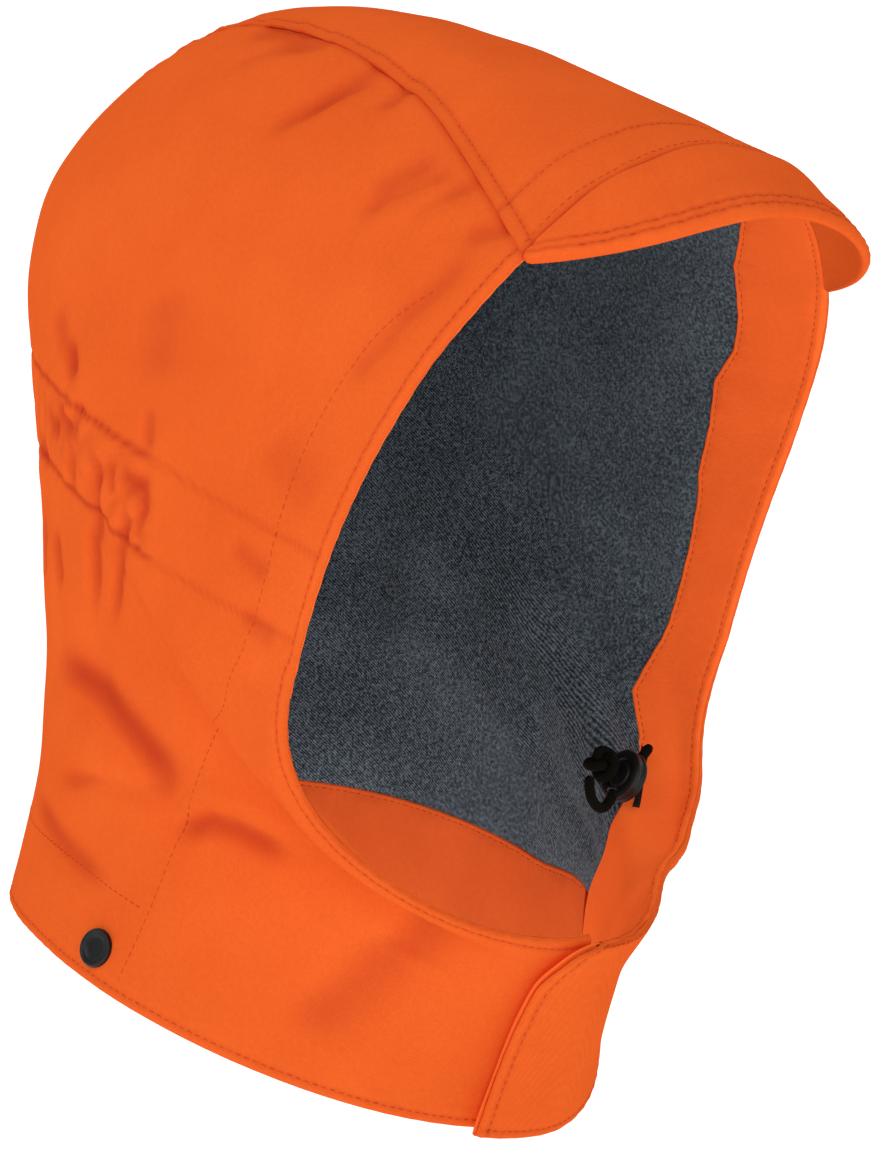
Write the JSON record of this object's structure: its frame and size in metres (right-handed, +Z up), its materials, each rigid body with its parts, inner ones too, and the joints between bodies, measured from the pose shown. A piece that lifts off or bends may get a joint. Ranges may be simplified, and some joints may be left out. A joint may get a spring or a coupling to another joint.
{
  "type": "detachable hood",
  "caption": "Lined rain hood with a curved peak, a lapped chin flap and a drawcord lock, for a jacket's collar.",
  "frame": {"origin": "inside of the crown on the centre plane, where the hood sits on the head", "axes": "+Z up, the face opening towards -Y, the wearer's right towards -X"},
  "size_m": [0.212, 0.3089, 0.3638],
  "materials": {
    "shell_cloth": "matte",
    "facing_cloth": "matte",
    "lining_cloth": "matte",
    "black_plastic": "satin",
    "black_cord": "matte"
  },
  "bodies": {
    "root": {"side_panel_right": "shell_cloth", "side_panel_left": "shell_cloth", "centre_panel": "shell_cloth", "peak": "shell_cloth", "face_facing_right": "facing_cloth", "face_facing_left": "facing_cloth", "neck_facing": "facing_cloth", "lining": "lining_cloth", "snap_right": "black_plastic", "snap_left": "black_plastic", "cord_lock_left": "black_plastic", "flap_tape": "black_cord", "cord_tab_left": "black_cord", "cord_left": "black_cord", "cord_knot_left": "black_cord"}
  },
  "joints": []
}
